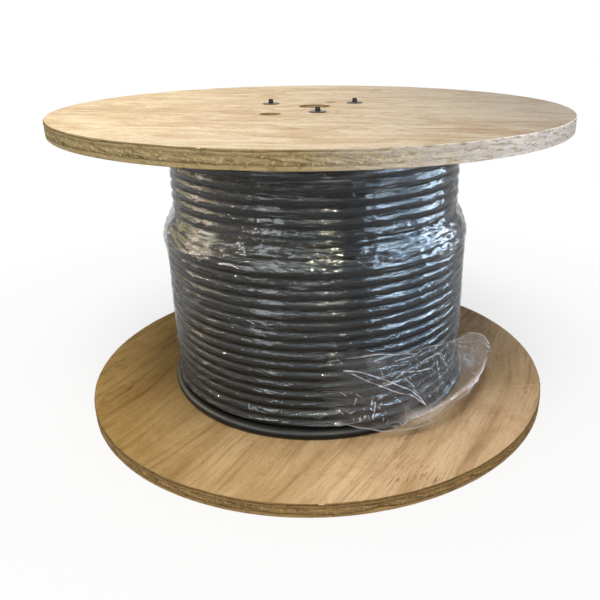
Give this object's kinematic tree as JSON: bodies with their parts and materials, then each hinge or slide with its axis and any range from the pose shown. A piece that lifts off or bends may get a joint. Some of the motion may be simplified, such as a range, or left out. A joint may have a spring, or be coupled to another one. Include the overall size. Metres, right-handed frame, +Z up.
{
  "type": "reel of electrical cable",
  "caption": "Plywood reel standing on its flange, wound with black sheathed cable under clear stretch film, with a central arbor hole and a drive-pin hole.",
  "frame": {"origin": "centre of the lower flange's underside, on the reel's axis", "axes": "+Z up along the reel's axis, -Y towards the side that the picture shows, +X to its right"},
  "size_m": [0.5589, 0.559, 0.3423],
  "materials": {
    "plywood_lower": "raw sanded",
    "plywood_upper": "raw sanded",
    "fibre_board": "matte",
    "bolt_steel": "dull zinc",
    "nut_steel": "dull zinc",
    "cable_jacket": "satin",
    "clear_film": "clear gloss"
  },
  "bodies": {
    "root": {"lower_flange": "plywood_lower", "upper_flange": "plywood_upper", "drum": "fibre_board", "tie_bolt_1": "bolt_steel", "tie_bolt_2": "bolt_steel", "tie_bolt_3": "bolt_steel", "tee_nut_1": "nut_steel", "tee_nut_2": "nut_steel", "tee_nut_3": "nut_steel", "cable_winding": "cable_jacket", "stretch_film": "clear_film"}
  },
  "joints": []
}
